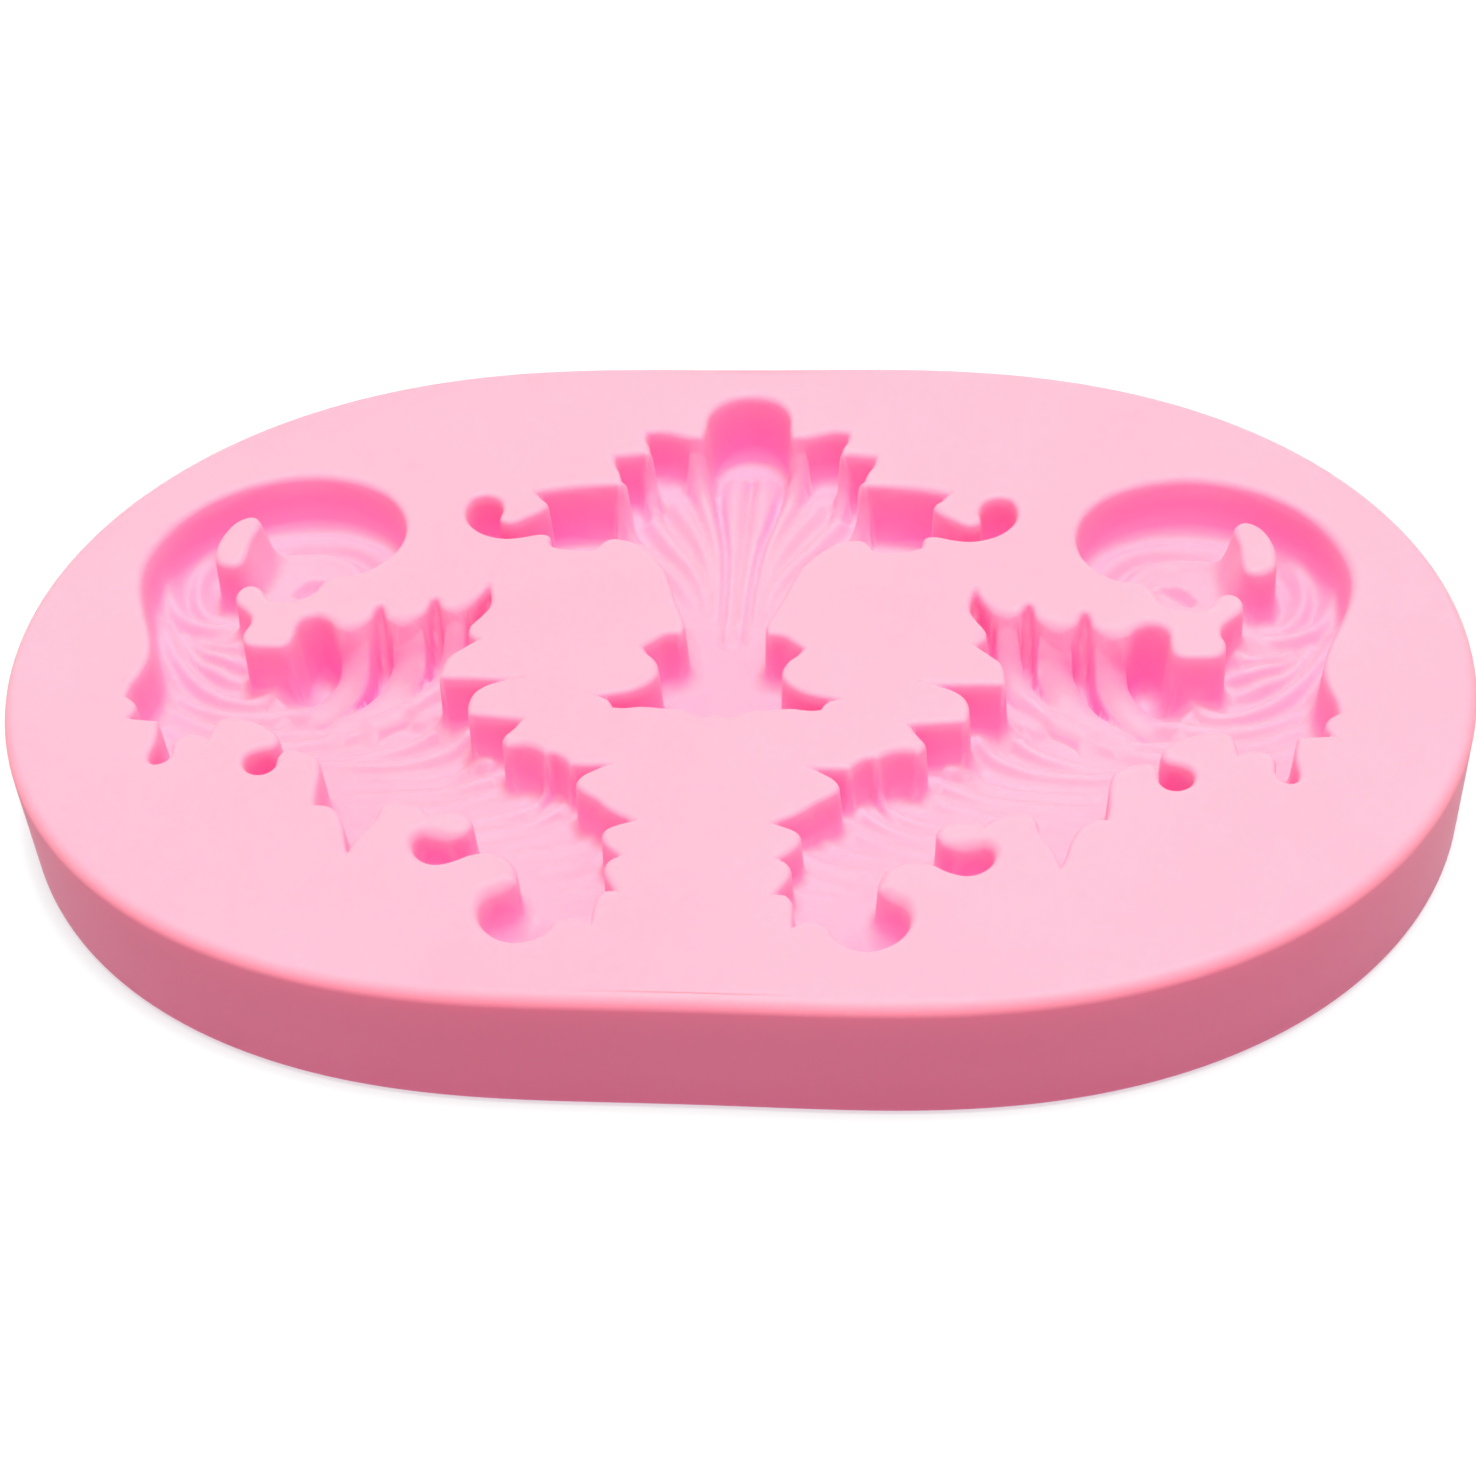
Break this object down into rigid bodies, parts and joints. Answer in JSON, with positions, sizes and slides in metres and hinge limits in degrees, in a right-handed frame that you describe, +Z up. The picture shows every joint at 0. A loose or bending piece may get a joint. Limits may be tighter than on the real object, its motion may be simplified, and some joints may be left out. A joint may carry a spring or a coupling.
{
  "type": "silicone casting mould",
  "caption": "Flat oval flexible mould with open leaf-scroll and palmette cavities in its top face, for casting resin or modelling paste.",
  "frame": {"origin": "centre of the flat underside", "axes": "+X along the slab's length, +Y towards the palmette's crown, +Z up out of the cavities"},
  "size_m": [0.12, 0.0796, 0.0115],
  "materials": {
    "silicone": "satin"
  },
  "bodies": {
    "root": {"mould_body": "silicone"}
  },
  "joints": []
}
